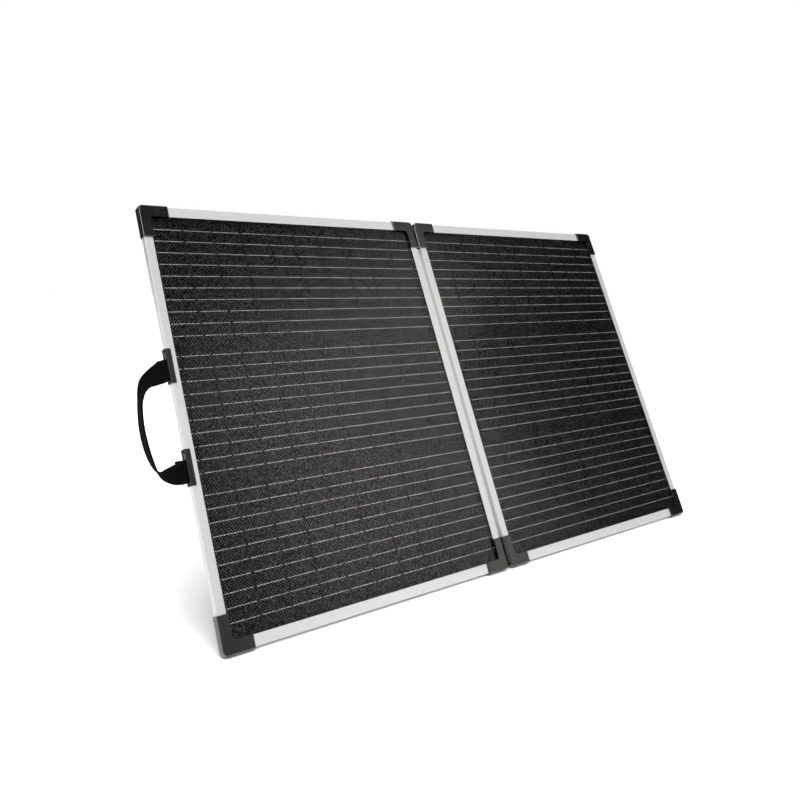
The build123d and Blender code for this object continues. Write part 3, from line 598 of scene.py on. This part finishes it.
def strap_stations():
    """Centre, width direction, width and thickness along the strap."""
    rows = smooth_between(STRAP_ROUTE, ROUTE_STEPS)
    up, out = Vector((0, 1, 0)), Vector((0, 0, 1))
    stations = []
    for i, (x, y, width, thick, turn) in enumerate(rows):
        before, after = rows[max(i - 1, 0)], rows[min(i + 1, len(rows) - 1)]
        ahead = Vector((after[0] - before[0], after[1] - before[1], 0)).normalized()
        reach = min(max((BAR_X - x) / SETTLE, 0.0), 1.0)
        rise = WRAP_R * (1 - reach) * (1 - reach)
        across = Vector((ahead.y, -ahead.x, 0))
        if across.y < 0:
            across = -across
        across = up.lerp(across, reach).normalized()
        angle = math.radians(turn)
        wide = across * math.cos(angle) + out * math.sin(angle)
        stations.append((Vector((x, y, BAR_Z + rise)), wide, width, thick))
    return stations


def wrap_stations(y, lean, width):
    """From the tail's cut end behind the bar, round the bar, to where the strap starts."""
    stations = []
    wide = Vector((0, 1, 0))
    for step in range(TAIL_STEPS):
        back = TAIL * (1 - step / TAIL_STEPS)
        drop = WRAP_R - TAIL_DROP * back / TAIL
        centre = Vector((BAR_X - back, y - lean * back, BAR_Z - drop))
        stations.append((centre, wide, width, WEBBING_T))
    for degrees in range(-90, 91, WRAP_STEP):
        angle = math.radians(degrees)
        centre = Vector((BAR_X + WRAP_R * math.cos(angle), y, BAR_Z + WRAP_R * math.sin(angle)))
        stations.append((centre, wide, width, WEBBING_T))
    return stations


def ring(width, thick):
    """Outline of the webbing's section, its corners rounded, with its width along x."""
    half, deep = width / 2, thick / 2
    corner = min(deep * ROUND_SHARE, EDGE_ROUND)
    arcs = []
    for sx, sy, start in ((1, 1, 0), (-1, 1, 90), (-1, -1, 180), (1, -1, 270)):
        middle = Vector((sx * (half - corner), sy * (deep - corner)))
        angles = [math.radians(start + turn) for turn in (0, 30, 60, 90)]
        arcs.append([middle + corner * Vector((math.cos(a), math.sin(a))) for a in angles])
    points = []
    for arc, following in zip(arcs, arcs[1:] + arcs[:1]):
        points += arc
        points += [arc[-1].lerp(following[0], part) for part in EDGE_STEPS]
    return points


def new_piece(name, bm, material, body):
    """Makes an object of a mesh under construction, and has it ride on a body."""
    mesh = bpy.data.meshes.new(name)
    bm.normal_update()
    bm.to_mesh(mesh)
    bm.free()
    mesh.materials.append(material)
    piece = bpy.data.objects.new(name, mesh)
    bpy.context.scene.collection.objects.link(piece)
    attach(piece, body)
    return piece


def loft_webbing(name, stations, material):
    """Lofts the stations' sections and gives them a uv map in metres."""
    bm = bmesh.new()
    uv = bm.loops.layers.uv.new("weave")
    rings, runs = [], []
    run = 0.0
    for i, (centre, wide, width, thick) in enumerate(stations):
        before, after = stations[max(i - 1, 0)][0], stations[min(i + 1, len(stations) - 1)][0]
        ahead = (after - before).normalized()
        deep = ahead.cross(wide).normalized()
        if i:
            run += (centre - stations[i - 1][0]).length
        section = []
        for a, b in ring(width, thick):
            place = centre + wide * a + deep * b
            section.append((bm.verts.new(leaf_point(*place)), a))
        rings.append(section)
        runs.append(run)
    size = len(rings[0])
    for i in range(len(rings) - 1):
        for k in range(size):
            following = (k + 1) % size
            corners = [(i, k), (i, following), (i + 1, following), (i + 1, k)]
            face = bm.faces.new([rings[r][c][0] for r, c in corners])
            face.smooth = True
            for loop, (r, c) in zip(face.loops, corners):
                loop[uv].uv = (runs[r] * MM, rings[r][c][1] * MM)
    for section in (rings[0], rings[-1]):
        bm.faces.new([vert for vert, _ in section])
    bmesh.ops.recalc_face_normals(bm, faces=bm.faces)
    return new_piece(name, bm, material, "handle")


def add_thread(bm, a, b):
    """One stitch between two leaf points: a short raised capsule."""
    a, b = leaf_point(*a), leaf_point(*b)
    ahead = (b - a).normalized()
    turn = ahead.to_track_quat("Z", "Y").to_matrix()
    rings = []
    for part, size in THREAD_PROFILE:
        centre = a.lerp(b, part)
        row = []
        for k in range(THREAD_SIDES):
            angle = 2 * math.pi * k / THREAD_SIDES
            offset = turn @ Vector((math.cos(angle), math.sin(angle), 0))
            row.append(bm.verts.new(centre + offset * size * THREAD_R * MM))
        rings.append(row)
    for lower, upper in zip(rings, rings[1:]):
        for k in range(THREAD_SIDES):
            following = (k + 1) % THREAD_SIDES
            bm.faces.new((lower[k], lower[following], upper[following], upper[k])).smooth = True
    bm.faces.new(list(reversed(rings[0])))
    bm.faces.new(rings[-1])


def sew(bm, stations, across, side):
    """A row of stitches along some of the strap's stations, on one face."""
    for a, b in zip(stations[::2], stations[1::2]):
        ends = []
        for centre, wide, width, thick in (a, b):
            deep = (b[0] - a[0]).normalized().cross(wide).normalized()
            aside = wide * across * (width / 2 - STITCH_INSET)
            ends.append(centre + aside + deep * side * (thick / 2 + STITCH_PROUD))
        add_thread(bm, *ends)


def add_strap():
    """Webbing from bar to bar, wrapped round both, with the thread that sews it."""
    route = strap_stations()
    first, last = route[0], route[-1]
    upper = wrap_stations(first[0].y, UPPER_TAIL_LEAN, first[2])
    lower = wrap_stations(last[0].y, LOWER_TAIL_LEAN, last[2])
    lower.reverse()
    stations = upper + route[1:-1] + lower
    strap = loft_webbing("carrying_strap", stations, webbing_material())
    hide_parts("handle_strap")
    bm = bmesh.new()
    for across in (-1, 1):
        for side in (-1, 1):
            for sewn in SEWN:
                sew(bm, route[sewn], across, side)
    stitches = new_piece("strap_stitching", bm, thread_material(), "handle")


bpy.context.scene.view_settings.view_transform = "Standard"
add_camera()
make_world()
add_sun()
add_floor()
cover_frame()
cover_laminate()
add_strap()
